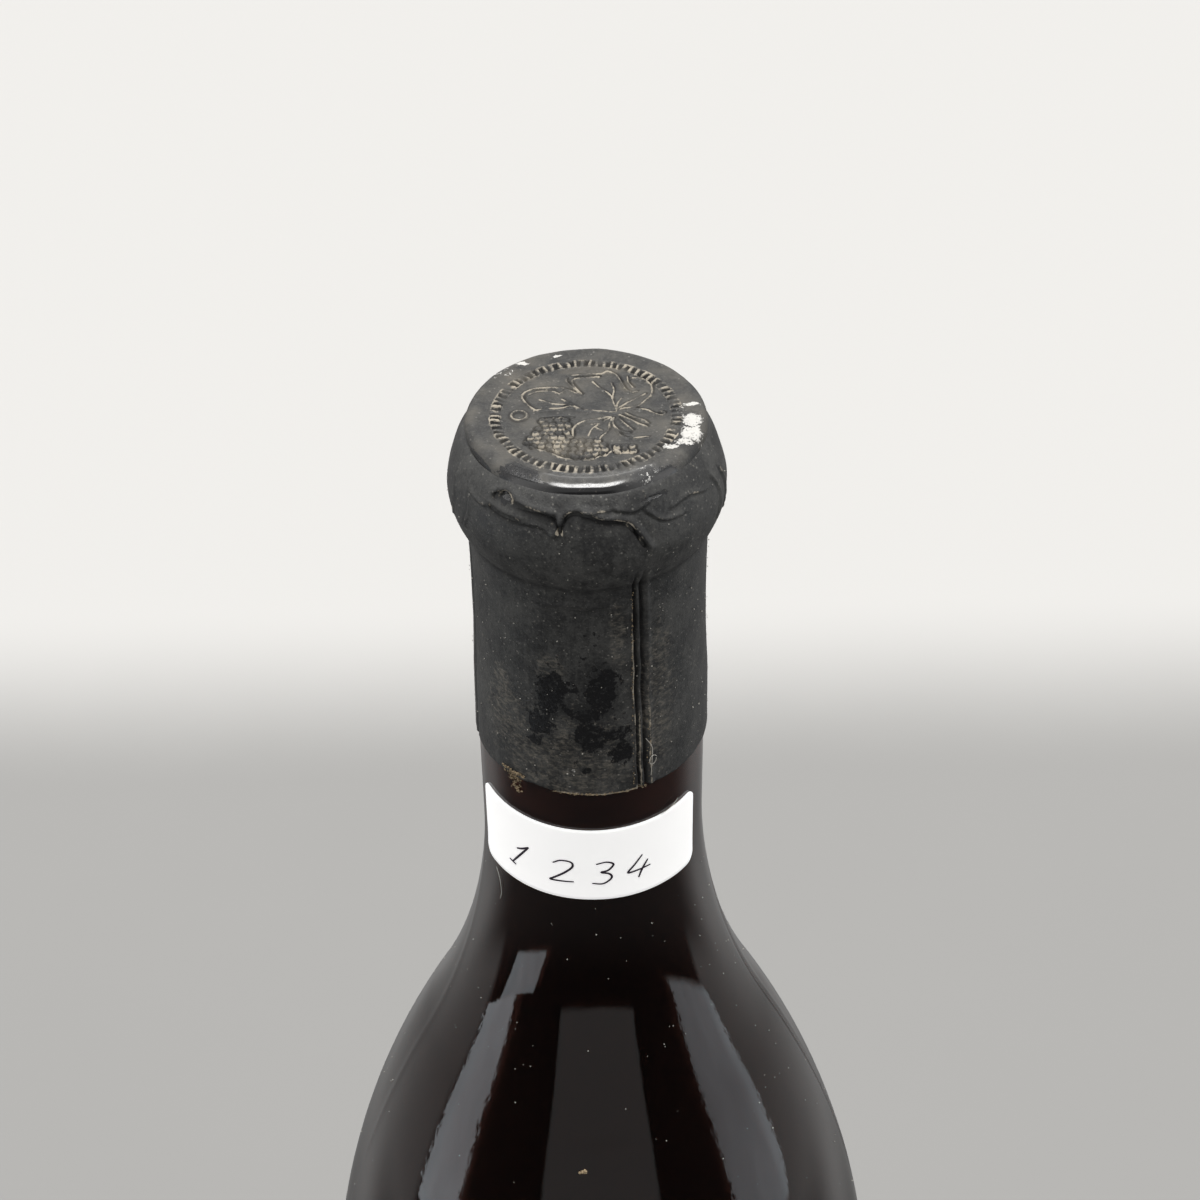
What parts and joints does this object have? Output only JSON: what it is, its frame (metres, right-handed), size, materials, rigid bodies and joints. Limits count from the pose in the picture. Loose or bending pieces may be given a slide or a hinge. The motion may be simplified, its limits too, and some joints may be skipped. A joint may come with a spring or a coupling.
{
  "type": "sealed wine bottle",
  "caption": "Sealed full wine bottle with sloping shoulders, a hollowed base, a foil capsule pressed over its ring and a paper sticker round the neck.",
  "frame": {"origin": "centre of the base, on the surface that the bottle stands on", "axes": "+Z along the bottle's axis, up to the mouth; -Y is the front, where the sticker is"},
  "size_m": [0.08, 0.08, 0.2964],
  "materials": {
    "glass": "glossy, nearly black, dark red-brown where light comes through",
    "wine": "dark red liquid",
    "foil": "old dark lacquered foil, half matt, dusty, worn to bare metal in places",
    "paper": "smooth matt paper"
  },
  "bodies": {
    "root": {"glass": "glass", "wine": "wine", "capsule": "foil", "sticker": "paper"}
  },
  "joints": []
}
